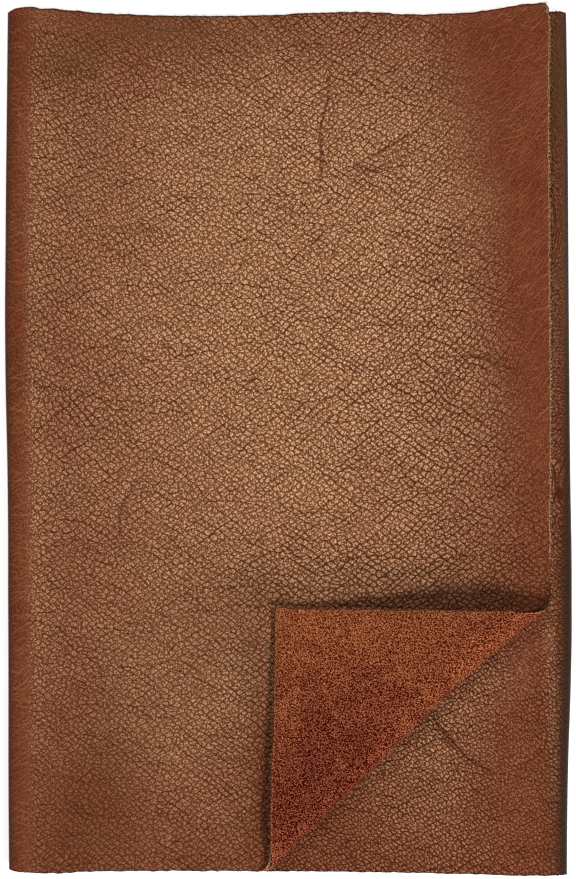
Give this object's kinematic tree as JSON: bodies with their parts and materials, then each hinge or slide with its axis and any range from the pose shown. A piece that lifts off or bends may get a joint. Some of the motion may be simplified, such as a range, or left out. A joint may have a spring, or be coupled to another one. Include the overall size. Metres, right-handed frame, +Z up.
{
  "type": "folded leather hide",
  "caption": "Soft pebbled leather sheet folded in three like a letter, with one corner of its top third turned back to show the suede side.",
  "frame": {"origin": "centre of the folded sheet's outline, on the surface it lies on", "axes": "+Z up, +Y along the two folds towards the end without the turned corner, +X from the left fold to the right fold"},
  "size_m": [0.2009, 0.3087, 0.0175],
  "materials": {
    "leather": "pebbled brown grain side with a soft satin sheen, rusty brown suede on the back, raw tan cut edges"
  },
  "bodies": {
    "root": {"hide": "leather"}
  },
  "joints": []
}
